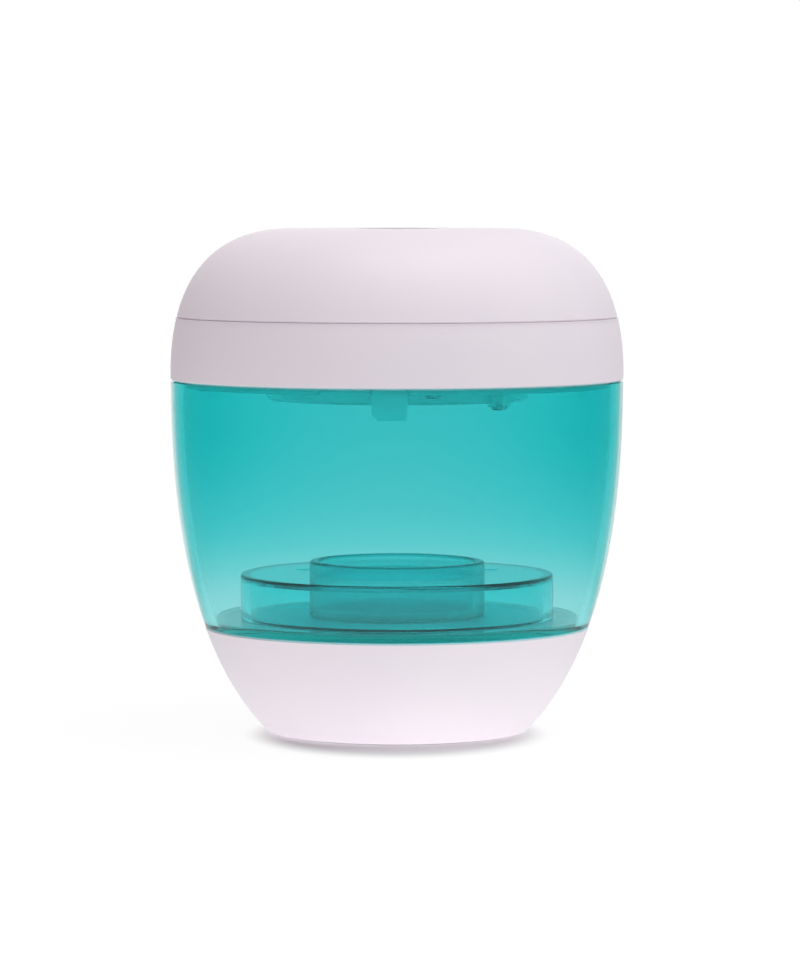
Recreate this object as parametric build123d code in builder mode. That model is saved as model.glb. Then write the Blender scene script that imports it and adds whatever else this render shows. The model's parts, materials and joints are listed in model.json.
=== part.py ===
from build123d import *
import os
from math import cos, radians, sin

os.makedirs("parts", exist_ok=True)

# Portable ultraviolet steriliser for bottle teats and soothers: a round casing of a white base,
# a tinted see-through chamber, a hinged white lid and a twist-off dome with a power button.
# Origin on the floor under the middle of the casing, +Z up, front towards -Y, hinge at +Y.

# Casing outline, in millimetres: two Bezier curves that meet at the widest circle
BODY_R = 45.05
WIDEST_Z = 72.0
SIDE_DROP = 17.8
HEEL_R = 44.1
HEEL_Z = 20.2
FOOT_R = 27.0
FOOT_EDGE_Z = 1.5
UNDERSIDE_Z = 0.5
SIDE_RISE = 15.5
SHOULDER_R = 38.85
TOP_FLAT_R = 21.4
TOP_Z = 100.4

# Seams between the shells, each a narrow shadow gap
SEAM_BASE_Z = 21.5
SEAM_LID_Z = 70.25
SEAM_DOME_Z = 82.6
SEAM_GAP = 0.3
SEAM_CHAMFER = 0.35

# Walls
SHELL_WALL = 2.2
WINDOW_WALL = 2.4
FLOOR_TOP_Z = 23.3
WALL_BITE = 0.5
CUT_MARGIN = 1.0

# Underside and ballast
PAD_R = 23.0
PAD_TOP_Z = 1.7
PAD_EDGE = 0.4
RIB_COUNT = 6
RIB_R = 25.0
RIB_TOP_Z = 13.0
RIB_T = 1.2
BALLAST_R = 24.4
BALLAST_HOLE_R = 5.0
BALLAST_H = 9.0
BALLAST_EDGE = 0.8
BASE_SCREW_CIRCLE_R = 16.0
BASE_SCREW_R = 1.2
BASE_SCREW_HEAD_R = 2.7
BASE_SCREW_HEAD_H = 1.8
BASE_SCREW_SEAT_Z = 4.5
BASE_SCREW_LENGTH = 11.0
BASE_BOSS_R = 4.0
BASE_BOSS_TOP_Z = 8.0
BASE_POST_R = 3.0
BASE_SCREW_CLEARANCE = 0.2
PAD_CLEARANCE = 0.2
SPIGOT_R = 34.5
SPIGOT_DROP = 3.0
SPIGOT_WALL = 1.8

# Hinge at the back
HINGE_Y = 46.8
HINGE_PIN_R = 1.0
HINGE_CLEARANCE = 0.05
KNUCKLE_R = 2.8
KNUCKLE_RELIEF = 0.3
KNUCKLE_HALF = 4.9
KNUCKLE_OUTER = 10.4
KNUCKLE_GAP = 0.2
KNUCKLE_WEB = 6.0
KNUCKLE_WEB_ANGLE = 40.0

# Rack that holds teats and soothers
RACK_R = 31.3
RACK_WALL = 2.0
RACK_TOP_Z = 31.9
RACK_PLATE_T = 1.3
RACK_LIFT = 0.05
RACK_EDGE = 0.6
COLLAR_R = 17.5
COLLAR_WALL = 2.0
COLLAR_TOP_Z = 34.4
COLLAR_FLOOR_T = 1.4
VENT_R = 1.5
VENT_CIRCLE_R = 20.2
VENT_ANGLES = (20.0, 160.0)
REFLECTOR_DISC_R = 29.0
REFLECTOR_DISC_T = 0.5

# Lamp tray, the floor of the lid
TRAY_R = 42.2
TRAY_BOTTOM_Z = 69.1
TRAY_T = 1.5
TRAY_FLANGE_T = 1.3
TRAY_FLANGE_TOP_Z = 73.2
TRAY_EDGE = 0.4
APERTURE_R = 25.2
TRAY_SCREW_CIRCLE_R = 38.3
TRAY_SCREW_ANGLES = (10.0, 100.0, 190.0, 280.0)
SMALL_SCREW_R = 0.85
SMALL_SCREW_HEAD_R = 1.6
SMALL_SCREW_HEAD_H = 0.7
TRAY_BOSS_R = 2.4
TRAY_BOSS_TOP_Z = 78.2
BOSS_WEB_T = 1.4
BOSS_WEB_GAP = 0.2
RECESS_ANGLES = (-107.8, -72.2)
RECESS_WIDTH = 4.2
RECESS_DEPTH = 1.0
RECESS_H = 0.7

# Lamp, its reflector and its clear cover
LAMP_Z = 69.6
LAMP_TUBE_R = 1.9
LAMP_HALF = 19.5
LAMP_END_R = 1.2
CAP_R = 2.3
CAP_INNER = 17.5
CAP_OUTER = 23.0
CAP_TAB_END = 29.5
CAP_TAB_HALF = 2.4
CAP_TAB_T = 1.0
CAP_TAB_CLEARANCE = 0.3
BOWL_FLANGE_R = 28.0
BOWL_R = 24.8
BOWL_MID_R = 19.3
BOWL_MID_Z = 72.0
BOWL_TOP_R = 9.0
BOWL_TOP_Z = 72.8
SHEET_T = 0.5
LENS_R = 26.1
LENS_BOTTOM_Z = 66.5
LENS_FLOOR_T = 0.7
LENS_WALL = 1.0
LENS_EDGE = 0.45
LENS_EAR_R = 2.3
LENS_EAR_BOTTOM_Z = 65.9
LENS_EAR_CIRCLE_R = 26.6
LENS_EAR_ANGLES = (-42.0, 138.0)

# Front latch tongue
LATCH_X = -1.4
LATCH_WIDTH = 6.7
LATCH_R = 42.1
LATCH_T = 1.2
LATCH_BOTTOM_Z = 64.35
LATCH_FOOT_R = 36.5
LATCH_SLOT_CLEARANCE = 0.25
LATCH_LEFT_CHAMFER = 1.2
LATCH_RIGHT_CHAMFER = 0.4

# Circuit board and what stands on it
BOARD_R = 35.5
BOARD_BOTTOM_Z = 73.6
BOARD_T = 1.6
BOARD_SCREW_CIRCLE_R = 31.5
BOARD_SCREW_ANGLES = (30.0, 150.0, 270.0)
BOARD_POST_R = 2.2
USB_ANGLE = 55.0
USB_TAB_END = 41.0
USB_FACE_R = 42.1
USB_LENGTH = 5.6
USB_WIDTH = 7.5
USB_HEIGHT = 2.6
USB_SHEET = 0.35
USB_SLOT_MARGIN = 0.5
SWITCH_SIZE = 6.0
SWITCH_H = 3.0
SWITCH_STEM_R = 1.6
SWITCH_STEM_H = 0.8
SWITCH_CORNER = 0.5
LED_Y = -11.5
LED_R = 1.4
LED_H = 3.6
LED_DOME_R = 1.25

# Lid safety plunger
PLUNGER_ANGLE = 120.0
PLUNGER_CIRCLE_R = 38.8
PLUNGER_R = 1.2
PLUNGER_COLLAR_R = 1.8
PLUNGER_TIP_R = 0.5
STRIKER_TOP_Z = 68.2
STRIKER_H = 1.3
STRIKER_HALF = 2.2
DETECTOR_H = 1.5

# Batteries
CELL_R = 5.25
CELL_LENGTH = 44.5
CELL_NUB_R = 1.9
CELL_NUB_H = 1.0
CELL_RADIAL = 20.0
CELL_ANGLES = (90.0, 210.0, 330.0)
BATTERY_TRAY_R = 36.0
BATTERY_TRAY_T = 1.2
BATTERY_TRAY_HOLE_R = 13.5
CELL_GAP = 0.2
END_WALL_T = 1.2
END_WALL_H = 7.0
CONTACT_GAP = 1.2
CONTACT_T = 0.4
CONTACT_SIZE = 7.0
CONTACT_CORNER_R = 1.0
CONTACT_BUMP_TAPER = 40
END_WALL_WIDTH = 10.1
SADDLE_WIDTH = 9.5

# Twist-off dome
NECK_R = 40.6
NECK_WALL = 1.6
NECK_BOTTOM_Z = 80.4
LUG_R = 42.0
LUG_H = 0.8
LUG_SPAN = 16.0
LUG_ANGLES = (100.0, 220.0, 340.0)
LUG_CLEARANCE = 0.2
LIP_R = 40.9
LIP_BOTTOM_Z = 81.4
LIP_GAP_SPAN = 22.0
DOME_TWIST = 20.0

# Power button and indicator
BUTTON_R = 8.0
BUTTON_CLEARANCE = 0.2
BUTTON_SINK = 0.2
BUTTON_SKIRT_Z = 94.8
BUTTON_LIP_R = 8.9
BUTTON_LIP_H = 0.8
BUTTON_WALL = 1.4
BUTTON_TRAVEL = 0.8
BUTTON_POST_R = 2.0
BUTTON_GUIDE_R = 9.6
BUTTON_EDGE = 0.4
BUTTON_REST_GAP = 0.1

# Small parts inside the lid
LENS_SCREW_LENGTH = 4.6
TRAY_SCREW_LENGTH = 6.0
BOARD_SCREW_LENGTH = 4.2
BATTERY_SCREW_LENGTH = 3.4
LEAD_X = 27.0
LEAD_R = 0.5
USB_TAB_WIDTH = 10.0
USB_CORNER_R = 0.8
USB_BACK_T = 1.0
DETECTOR_TAB_END = 41.0
DETECTOR_TAB_WIDTH = 7.0
DETECTOR_INNER_R = 36.2
DETECTOR_LENGTH = 4.2
DETECTOR_HALF = 2.2
PLUNGER_LIFT = 0.05
PLUNGER_COLLAR_H = 0.5
CHIP_SPOT = (-13.0, -19.0)
CHIP_LENGTH = 9.0
CHIP_WIDTH = 5.0
CHIP_H = 1.5
CHIP_STAND = 0.3
CHIP_LEG_LENGTH = 1.0
CHIP_LEG_WIDTH = 0.4
CHIP_LEG_OVERLAP = 0.1
CHIP_LEGS = 4
COIL_X = 9.3
COIL_HALF = 4.0
COIL_R = 3.2
COIL_WINDING_R = 2.5
COIL_FLANGE_T = 1.0
CAPACITOR_CIRCLE_R = 24.0
CAPACITOR_ANGLES = (175.0, 195.0, 320.0)
CAPACITOR_R = 2.4
CAPACITOR_H = 2.6
CAPACITOR_EDGE = 0.3
SADDLE_H = 3.2
CONTACT_DROP = 0.8
DOME_RIM_R = 42.5
GUIDE_BOTTOM_Z = 95.7
PIPE_BOTTOM_Z = 79.8
DOME_RIB_COUNT = 6
DOME_RIB_T = 1.0
DOME_RIB_END_R = 34.0
DOME_RIB_BOTTOM_Z = 94.0

# Worked out from the sizes above
WINDOW_BOTTOM_Z = SEAM_BASE_Z + SEAM_GAP / 2
WINDOW_RIM_Z = SEAM_LID_Z - SEAM_GAP / 2
BAND_BOTTOM_Z = SEAM_LID_Z + SEAM_GAP / 2
BAND_TOP_Z = SEAM_DOME_Z - SEAM_GAP / 2
DOME_BOTTOM_Z = SEAM_DOME_Z + SEAM_GAP / 2
TRAY_TOP_Z = TRAY_BOTTOM_Z + TRAY_T
BOARD_TOP_Z = BOARD_BOTTOM_Z + BOARD_T
CELL_Z = TRAY_BOSS_TOP_Z + BATTERY_TRAY_T + CELL_GAP + CELL_R
SWITCH_TOP_Z = BOARD_TOP_Z + SWITCH_H + SWITCH_STEM_H
WEB_Y = HINGE_Y + KNUCKLE_R * cos(radians(KNUCKLE_WEB_ANGLE))
WEB_RISE = KNUCKLE_R * sin(radians(KNUCKLE_WEB_ANGLE))
REACH = 60.0


def radial_plane(angle):
    """Upright plane through the axis, its x pointing outward at an angle and its y up."""
    turn = radians(angle)
    return Plane(origin=(0, 0, 0), x_dir=(cos(turn), sin(turn), 0), z_dir=(sin(turn), -cos(turn), 0))


def inset_points(points, inset):
    """Move a chain of control points inward so that each leg stays parallel to itself."""
    chain = [Vector(*point) for point in points]
    legs = [(after - before).normalized() for before, after in zip(chain, chain[1:])]
    normals = [Vector(-leg.Y, leg.X) for leg in legs]
    normals = [normals[0]] + normals + [normals[-1]]
    moved = []
    for point, before, after in zip(chain, normals, normals[1:]):
        moved.append(point + (before + after) * (inset / (1 + before.dot(after))))
    return moved


def casing_section(inset=0.0):
    """Half section of the whole casing with radius along x and height along y."""
    points = inset_points(
        [
            (0, UNDERSIDE_Z),
            (FOOT_R - FOOT_EDGE_Z + UNDERSIDE_Z, UNDERSIDE_Z),
            (FOOT_R, FOOT_EDGE_Z),
            (HEEL_R, HEEL_Z),
            (BODY_R, WIDEST_Z - SIDE_DROP),
            (BODY_R, WIDEST_Z),
            (BODY_R, WIDEST_Z + SIDE_RISE),
            (SHOULDER_R, TOP_Z),
            (TOP_FLAT_R, TOP_Z),
            (0, TOP_Z),
        ],
        inset,
    )
    with BuildSketch() as section:
        with BuildLine():
            Polyline(points[0], points[1], points[2])
            Bezier(*points[2:6])
            Bezier(*points[5:9])
            Polyline(points[8], points[9], points[0])
        make_face()
    return section.sketch


def outward_plane(angle, reach):
    """Upright plane that faces outward at an angle, a given distance from the axis."""
    turn = radians(angle)
    spot = (reach * cos(turn), reach * sin(turn), 0)
    return Plane(origin=spot, x_dir=(-sin(turn), cos(turn), 0), z_dir=(cos(turn), sin(turn), 0))


def around(circle_r, angles):
    """Points on a circle about the axis."""
    return [(circle_r * cos(radians(angle)), circle_r * sin(radians(angle))) for angle in angles]


OUTSIDE = casing_section()
SHELL_INSIDE = casing_section(SHELL_WALL)
WINDOW_INSIDE = casing_section(WINDOW_WALL)
RIB_LIMIT = casing_section(SHELL_WALL / 2)


def casing_wall(low, high, inside):
    """Half section of the casing's wall between two heights."""
    with BuildSketch() as ring:
        add(OUTSIDE)
        add(inside, mode=Mode.SUBTRACT)
        with Locations((0, low)):
            Rectangle(REACH, high - low, align=(Align.MIN, Align.MIN), mode=Mode.INTERSECT)
    return ring.sketch


def ring_section(inner, outer, low, high):
    """Half section of a plain ring."""
    with BuildSketch() as ring:
        with Locations((inner, low)):
            Rectangle(outer - inner, high - low, align=(Align.MIN, Align.MIN))
    return ring.sketch


def save(piece, name):
    """Label a finished piece and write it."""
    piece.label = name
    export_step(piece, f"parts/{name}.step")


# White base shell with bosses and ribs
with BuildPart() as base_shell:
    with BuildSketch(Plane.XZ):
        add(casing_wall(UNDERSIDE_Z, SEAM_BASE_Z - SEAM_GAP / 2, SHELL_INSIDE))
    revolve(axis=Axis.Z)
    base_rim = base_shell.edges().filter_by(GeomType.CIRCLE).sort_by(Axis.Z)[-2:]
    chamfer(base_rim.sort_by(SortBy.RADIUS)[-1], length=SEAM_CHAMFER)
    for rib in range(RIB_COUNT):
        with BuildSketch(radial_plane(rib * 360 / RIB_COUNT)):
            add(RIB_LIMIT)
            with Locations((RIB_R, 0)):
                Rectangle(REACH, RIB_TOP_Z, align=(Align.MIN, Align.MIN), mode=Mode.INTERSECT)
        extrude(amount=RIB_T / 2, both=True)
    with BuildSketch(Plane.XY.offset(PAD_TOP_Z)):
        with PolarLocations(BASE_SCREW_CIRCLE_R, 3, start_angle=90):
            Circle(BASE_BOSS_R)
    extrude(amount=BASE_BOSS_TOP_Z - PAD_TOP_Z)
    with BuildSketch(Plane.XY.offset(UNDERSIDE_Z)):
        Circle(PAD_R + PAD_CLEARANCE)
    extrude(amount=PAD_TOP_Z - UNDERSIDE_Z, mode=Mode.SUBTRACT)
    with BuildSketch(Plane.XY.offset(PAD_TOP_Z)):
        with PolarLocations(BASE_SCREW_CIRCLE_R, 3, start_angle=90):
            Circle(BASE_SCREW_HEAD_R + BASE_SCREW_CLEARANCE)
    extrude(amount=BASE_SCREW_SEAT_Z - PAD_TOP_Z, mode=Mode.SUBTRACT)
    with BuildSketch(Plane.XY.offset(BASE_SCREW_SEAT_Z)):
        with PolarLocations(BASE_SCREW_CIRCLE_R, 3, start_angle=90):
            Circle(BASE_SCREW_R + BASE_SCREW_CLEARANCE)
    extrude(amount=BASE_BOSS_TOP_Z, mode=Mode.SUBTRACT)
save(base_shell.part, "base_shell")

# Rubber pad under the base
with BuildPart() as foot_pad:
    with BuildSketch():
        Circle(PAD_R)
    extrude(amount=PAD_TOP_Z)
    chamfer(foot_pad.edges().group_by(Axis.Z)[0], length=PAD_EDGE)
save(foot_pad.part, "foot_pad")

# Iron ballast that keeps the open lid from tipping the base
with BuildPart() as ballast_ring:
    with BuildSketch(Plane.XY.offset(UNDERSIDE_Z + SHELL_WALL)):
        Circle(BALLAST_R)
        Circle(BALLAST_HOLE_R, mode=Mode.SUBTRACT)
        with PolarLocations(BASE_SCREW_CIRCLE_R, 3, start_angle=90):
            Circle(BASE_BOSS_R + KNUCKLE_RELIEF, mode=Mode.SUBTRACT)
    extrude(amount=BALLAST_H)
    chamfer(ballast_ring.edges().filter_by(GeomType.CIRCLE).sort_by(SortBy.RADIUS)[-2:], length=BALLAST_EDGE)
save(ballast_ring.part, "ballast_ring")

# Tinted chamber: wall, floor, spigot, screw posts, hinge knuckle and striker ledge
with BuildPart() as window:
    with BuildSketch(Plane.XZ):
        add(casing_wall(WINDOW_BOTTOM_Z, WINDOW_RIM_Z, WINDOW_INSIDE))
        add(ring_section(0, SPIGOT_R + SPIGOT_WALL, WINDOW_BOTTOM_Z, FLOOR_TOP_Z))
        add(
            ring_section(
                SPIGOT_R - SPIGOT_WALL,
                SPIGOT_R,
                WINDOW_BOTTOM_Z - SPIGOT_DROP,
                WINDOW_BOTTOM_Z,
            )
        )
    revolve(axis=Axis.Z)
    with BuildSketch(Plane.XY.offset(BASE_BOSS_TOP_Z)):
        with PolarLocations(BASE_SCREW_CIRCLE_R, 3, start_angle=90):
            Circle(BASE_POST_R)
    extrude(amount=WINDOW_BOTTOM_Z - BASE_BOSS_TOP_Z)
    with BuildSketch(Plane.XY.offset(BASE_BOSS_TOP_Z)):
        with PolarLocations(BASE_SCREW_CIRCLE_R, 3, start_angle=90):
            Circle(BASE_SCREW_R)
    extrude(amount=BASE_SCREW_SEAT_Z + BASE_SCREW_LENGTH - BASE_BOSS_TOP_Z, mode=Mode.SUBTRACT)
    with BuildSketch(Plane.YZ):
        with Locations((HINGE_Y, SEAM_LID_Z)):
            Circle(KNUCKLE_R + KNUCKLE_RELIEF)
    extrude(amount=KNUCKLE_OUTER + KNUCKLE_GAP, both=True, mode=Mode.SUBTRACT)
    with BuildSketch(Plane.YZ):
        with BuildLine():
            Polyline(
                (BODY_R - WINDOW_WALL / 2, WINDOW_RIM_Z),
                (BODY_R - WINDOW_WALL / 2, SEAM_LID_Z - KNUCKLE_WEB),
                (BODY_R, SEAM_LID_Z - KNUCKLE_WEB),
                (WEB_Y, SEAM_LID_Z - WEB_RISE),
                (HINGE_Y, SEAM_LID_Z),
                (HINGE_Y, WINDOW_RIM_Z),
                close=True,
            )
        make_face()
        with Locations((HINGE_Y, SEAM_LID_Z)):
            Circle(KNUCKLE_R)
    extrude(amount=KNUCKLE_HALF, both=True)
    with BuildSketch(Plane.YZ):
        with Locations((HINGE_Y, SEAM_LID_Z)):
            Circle(HINGE_PIN_R)
    extrude(amount=KNUCKLE_OUTER, both=True, mode=Mode.SUBTRACT)
    with BuildSketch(radial_plane(PLUNGER_ANGLE)):
        with Locations((PLUNGER_CIRCLE_R - PLUNGER_R, STRIKER_TOP_Z - STRIKER_H)):
            Rectangle(
                BODY_R - WINDOW_WALL / 2 - PLUNGER_CIRCLE_R + PLUNGER_R,
                STRIKER_H,
                align=(Align.MIN, Align.MIN),
            )
    extrude(amount=STRIKER_HALF, both=True)
save(window.part, "window")

# Polished disc on the chamber floor
with BuildPart() as floor_reflector:
    with BuildSketch(Plane.XY.offset(FLOOR_TOP_Z)):
        Circle(REFLECTOR_DISC_R)
    extrude(amount=REFLECTOR_DISC_T)
save(floor_reflector.part, "floor_reflector")

# Screws that hold the base shell to the chamber
with BuildPart() as base_screws:
    with BuildSketch(Plane.XY.offset(BASE_SCREW_SEAT_Z)):
        with PolarLocations(BASE_SCREW_CIRCLE_R, 3, start_angle=90):
            Circle(BASE_SCREW_R)
    extrude(amount=BASE_SCREW_LENGTH)
    with BuildSketch(Plane.XY.offset(BASE_SCREW_SEAT_Z - BASE_SCREW_HEAD_H)):
        with PolarLocations(BASE_SCREW_CIRCLE_R, 3, start_angle=90):
            Circle(BASE_SCREW_HEAD_R)
    extrude(amount=BASE_SCREW_HEAD_H)
save(base_screws.part, "base_screws")

# Steel hinge pin, pressed into the chamber's knuckle
with BuildPart() as hinge_pin:
    with BuildSketch(Plane.YZ):
        with Locations((HINGE_Y, SEAM_LID_Z)):
            Circle(HINGE_PIN_R)
    extrude(amount=KNUCKLE_OUTER - KNUCKLE_GAP, both=True)
save(hinge_pin.part, "hinge_pin")

# Lift-out rack: a clear drum with a flat top
with BuildPart() as rack_drum:
    with BuildSketch(Plane.XZ):
        add(ring_section(COLLAR_R, RACK_R, RACK_TOP_Z - RACK_PLATE_T, RACK_TOP_Z))
        add(ring_section(RACK_R - RACK_WALL, RACK_R, FLOOR_TOP_Z + RACK_LIFT, RACK_TOP_Z))
    revolve(axis=Axis.Z)
    fillet(rack_drum.edges().group_by(Axis.Z)[-1].sort_by(SortBy.RADIUS)[-1], radius=RACK_EDGE)
    with BuildSketch(Plane.XY.offset(RACK_TOP_Z)):
        with Locations(*around(VENT_CIRCLE_R, VENT_ANGLES)):
            Circle(VENT_R)
    extrude(amount=-RACK_PLATE_T, mode=Mode.SUBTRACT)
save(rack_drum.part, "rack_drum")

# Raised cup in the middle of the rack
with BuildPart() as rack_collar:
    cup_bottom = FLOOR_TOP_Z + REFLECTOR_DISC_T + 2 * RACK_LIFT
    with BuildSketch(Plane.XZ):
        add(ring_section(0, COLLAR_R, cup_bottom, cup_bottom + COLLAR_FLOOR_T))
        add(ring_section(COLLAR_R - COLLAR_WALL, COLLAR_R, cup_bottom, COLLAR_TOP_Z))
    revolve(axis=Axis.Z)
    fillet(rack_collar.edges().group_by(Axis.Z)[-1], radius=RACK_EDGE)
save(rack_collar.part, "rack_collar")

# White band, the wall of the lid
with BuildPart() as lid_band:
    with BuildSketch(Plane.XZ):
        add(casing_wall(BAND_BOTTOM_Z, BAND_TOP_Z, SHELL_INSIDE))
        add(ring_section(LIP_R, BODY_R - SHELL_WALL, LIP_BOTTOM_Z, BAND_TOP_Z))
    revolve(axis=Axis.Z)
    band_foot = lid_band.edges().filter_by(GeomType.CIRCLE).group_by(Axis.Z)[0]
    chamfer(band_foot.sort_by(SortBy.RADIUS)[-1], length=SEAM_CHAMFER)
    # gaps between the lips, where the dome's lugs come out
    for angle in LUG_ANGLES:
        with BuildSketch(radial_plane(angle + DOME_TWIST - LIP_GAP_SPAN / 2)):
            add(
                ring_section(
                    LIP_R - CUT_MARGIN,
                    LUG_R + LUG_CLEARANCE,
                    LIP_BOTTOM_Z - CUT_MARGIN,
                    BAND_TOP_Z + CUT_MARGIN,
                )
            )
        revolve(axis=Axis.Z, revolution_arc=LIP_GAP_SPAN, mode=Mode.SUBTRACT)
    # bosses that the lamp tray and the battery tray are screwed to
    with BuildSketch(Plane.XY.offset(TRAY_TOP_Z)):
        with Locations(*around(TRAY_SCREW_CIRCLE_R, TRAY_SCREW_ANGLES)):
            Circle(TRAY_BOSS_R)
    extrude(amount=TRAY_BOSS_TOP_Z - TRAY_TOP_Z)
    for angle in TRAY_SCREW_ANGLES:
        with BuildSketch(radial_plane(angle)):
            add(
                ring_section(
                    TRAY_SCREW_CIRCLE_R,
                    BODY_R - SHELL_WALL + WALL_BITE,
                    TRAY_FLANGE_TOP_Z + BOSS_WEB_GAP,
                    TRAY_BOSS_TOP_Z,
                )
            )
        extrude(amount=BOSS_WEB_T / 2, both=True)
    with BuildSketch(Plane.XY.offset(TRAY_TOP_Z)):
        with Locations(*around(TRAY_SCREW_CIRCLE_R, TRAY_SCREW_ANGLES)):
            Circle(SMALL_SCREW_R)
    extrude(amount=TRAY_BOSS_TOP_Z - TRAY_TOP_Z, mode=Mode.SUBTRACT)
    # hinge knuckles on both sides of the chamber's own
    with BuildSketch(Plane.YZ):
        with Locations((HINGE_Y, SEAM_LID_Z)):
            Circle(KNUCKLE_R + KNUCKLE_RELIEF)
    extrude(amount=KNUCKLE_HALF + KNUCKLE_GAP, both=True, mode=Mode.SUBTRACT)
    for side in (1, -1):
        with BuildSketch(Plane.YZ.offset(side * (KNUCKLE_HALF + KNUCKLE_GAP))):
            with BuildLine():
                Polyline(
                    (BODY_R - SHELL_WALL / 2, BAND_BOTTOM_Z),
                    (BODY_R - SHELL_WALL / 2, SEAM_LID_Z + KNUCKLE_WEB),
                    (BODY_R - WALL_BITE, SEAM_LID_Z + KNUCKLE_WEB),
                    (WEB_Y, SEAM_LID_Z + WEB_RISE),
                    (HINGE_Y, SEAM_LID_Z),
                    (HINGE_Y, BAND_BOTTOM_Z),
                    close=True,
                )
            make_face()
            with Locations((HINGE_Y, SEAM_LID_Z)):
                Circle(KNUCKLE_R)
        extrude(amount=side * (KNUCKLE_OUTER - KNUCKLE_HALF - KNUCKLE_GAP))
    with BuildSketch(Plane.YZ):
        with Locations((HINGE_Y, SEAM_LID_Z)):
            Circle(HINGE_PIN_R + HINGE_CLEARANCE)
    extrude(amount=KNUCKLE_OUTER, both=True, mode=Mode.SUBTRACT)
    # slot for the charging plug
    with BuildSketch(outward_plane(USB_ANGLE, USB_TAB_END)):
        with Locations((0, BOARD_TOP_Z + USB_HEIGHT / 2)):
            RectangleRounded(
                USB_WIDTH + 2 * USB_SLOT_MARGIN,
                USB_HEIGHT + 2 * USB_SLOT_MARGIN,
                USB_HEIGHT / 2,
            )
    extrude(amount=BODY_R - USB_TAB_END + CUT_MARGIN, mode=Mode.SUBTRACT)
save(lid_band.part, "lid_band")

# Lamp tray, the pan-shaped floor of the lid
with BuildPart() as lamp_tray:
    with BuildSketch(Plane.XZ):
        add(ring_section(APERTURE_R, TRAY_R, TRAY_BOTTOM_Z, TRAY_TOP_Z))
        add(ring_section(TRAY_R - TRAY_FLANGE_T, TRAY_R, TRAY_BOTTOM_Z, TRAY_FLANGE_TOP_Z))
    revolve(axis=Axis.Z)
    fillet(lamp_tray.edges().group_by(Axis.Z)[0].sort_by(SortBy.RADIUS)[-1], radius=TRAY_EDGE)
    with BuildSketch(Plane.XY.offset(TRAY_TOP_Z)):
        with Locations(*around(BOARD_SCREW_CIRCLE_R, BOARD_SCREW_ANGLES)):
            Circle(BOARD_POST_R)
            Circle(SMALL_SCREW_R, mode=Mode.SUBTRACT)
    extrude(amount=BOARD_BOTTOM_Z - TRAY_TOP_Z)
    for circle_r, angles, hole_r in (
        (TRAY_SCREW_CIRCLE_R, TRAY_SCREW_ANGLES, SMALL_SCREW_R),
        (LENS_EAR_CIRCLE_R, LENS_EAR_ANGLES, SMALL_SCREW_R),
        (PLUNGER_CIRCLE_R, (PLUNGER_ANGLE,), PLUNGER_R + HINGE_CLEARANCE),
    ):
        with BuildSketch(Plane.XY.offset(TRAY_BOTTOM_Z)):
            with Locations(*around(circle_r, angles)):
                Circle(hole_r)
        extrude(amount=TRAY_T, mode=Mode.SUBTRACT)
    # notch in the rim for the latch tongue
    with BuildSketch(Plane.XY.offset(TRAY_BOTTOM_Z)):
        with Locations((LATCH_X, LATCH_T - LATCH_R + 2 * LATCH_SLOT_CLEARANCE)):
            Rectangle(
                LATCH_WIDTH + 2 * LATCH_SLOT_CLEARANCE,
                2 * LATCH_T,
                align=(Align.CENTER, Align.MAX),
            )
    extrude(amount=TRAY_FLANGE_TOP_Z - TRAY_BOTTOM_Z, mode=Mode.SUBTRACT)
    # short recesses in the rim on both sides of the latch
    for angle in RECESS_ANGLES:
        with BuildSketch(Plane.XY.offset(TRAY_BOTTOM_Z)):
            with Locations(Location((0, 0, 0), (0, 0, angle))):
                with Locations((TRAY_R - RECESS_DEPTH, 0)):
                    Rectangle(2 * RECESS_DEPTH, RECESS_WIDTH, align=(Align.MIN, Align.CENTER))
        extrude(amount=RECESS_H, mode=Mode.SUBTRACT)
save(lamp_tray.part, "lamp_tray")

# Latch tongue behind the chamber's front wall
with BuildPart() as front_latch:
    with BuildSketch(Plane.XZ):
        add(ring_section(LATCH_R - LATCH_T, LATCH_R, LATCH_BOTTOM_Z, TRAY_FLANGE_TOP_Z))
        add(ring_section(LATCH_FOOT_R, LATCH_R, TRAY_TOP_Z, TRAY_TOP_Z + LATCH_T))
    revolve(axis=Axis.Z)
    with BuildSketch(Plane.XZ):
        left = LATCH_X - LATCH_WIDTH / 2
        right = LATCH_X + LATCH_WIDTH / 2
        with BuildLine():
            Polyline(
                (left, TRAY_FLANGE_TOP_Z),
                (left, LATCH_BOTTOM_Z + LATCH_LEFT_CHAMFER),
                (left + LATCH_LEFT_CHAMFER, LATCH_BOTTOM_Z),
                (right - LATCH_RIGHT_CHAMFER, LATCH_BOTTOM_Z),
                (right, LATCH_BOTTOM_Z + LATCH_RIGHT_CHAMFER),
                (right, TRAY_FLANGE_TOP_Z),
                close=True,
            )
        make_face()
    extrude(amount=REACH, mode=Mode.INTERSECT)
save(front_latch.part, "front_latch")

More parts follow.
